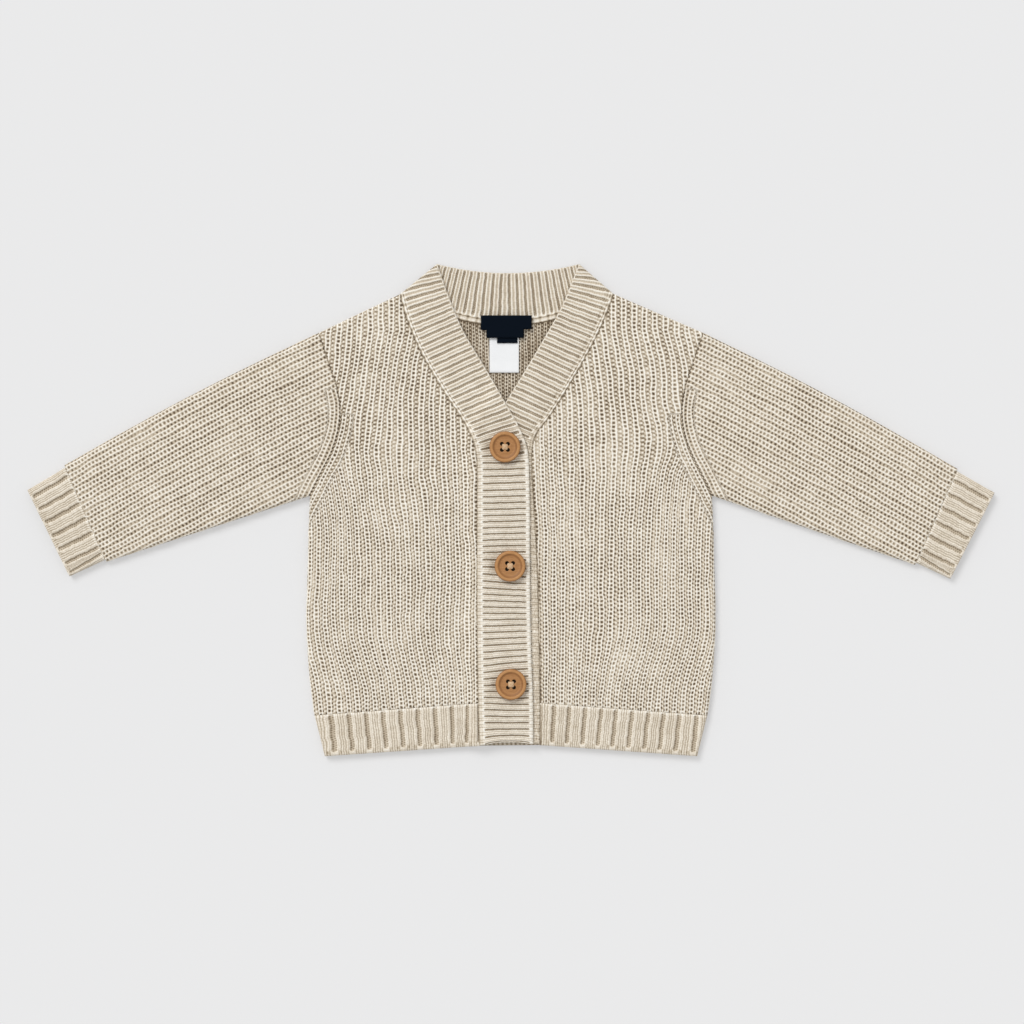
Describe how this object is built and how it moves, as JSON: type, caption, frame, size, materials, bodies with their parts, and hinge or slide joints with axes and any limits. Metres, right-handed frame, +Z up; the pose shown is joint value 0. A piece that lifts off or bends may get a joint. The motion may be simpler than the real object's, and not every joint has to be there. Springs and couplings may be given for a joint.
{
  "type": "baby cardigan laid flat",
  "caption": "Chunky rib-knit baby cardigan, V-neck and long-sleeved, buttoned with round wooden buttons and laid flat on its back to be looked at or folded away.",
  "frame": {"origin": "centre of the garment's outline on the surface that it lies on", "axes": "+X towards the wearer's left cuff, +Y from hem to neck, +Z up out of the front of the garment"},
  "size_m": [0.6244, 0.3178, 0.014],
  "materials": {
    "oatmeal_knit": "chunky shaker rib in oatmeal marl cotton yarn, matt",
    "oatmeal_rib": "firm rib in the same oatmeal marl yarn, matt",
    "turned_wood": "turned and waxed light brown wood, satin",
    "cream_thread": "cream sewing thread",
    "navy_tape": "dark navy damask-woven tape, bare",
    "white_satin": "white satin ribbon, bare"
  },
  "bodies": {
    "root": {"back_panel": "oatmeal_knit", "left_front_panel": "oatmeal_knit", "right_front_panel": "oatmeal_knit", "left_sleeve": "oatmeal_knit", "right_sleeve": "oatmeal_knit", "left_cuff": "oatmeal_rib", "right_cuff": "oatmeal_rib", "back_hem_rib": "oatmeal_rib", "left_front_hem_rib": "oatmeal_rib", "right_front_hem_rib": "oatmeal_rib", "buttonhole_band": "oatmeal_rib", "button_band": "oatmeal_rib", "back_neckband": "oatmeal_rib", "button_top": "turned_wood", "button_middle": "turned_wood", "button_bottom": "turned_wood", "button_top_thread": "cream_thread", "button_middle_thread": "cream_thread", "button_bottom_thread": "cream_thread", "neck_label": "navy_tape", "size_tab": "navy_tape", "care_label": "white_satin"}
  },
  "joints": []
}
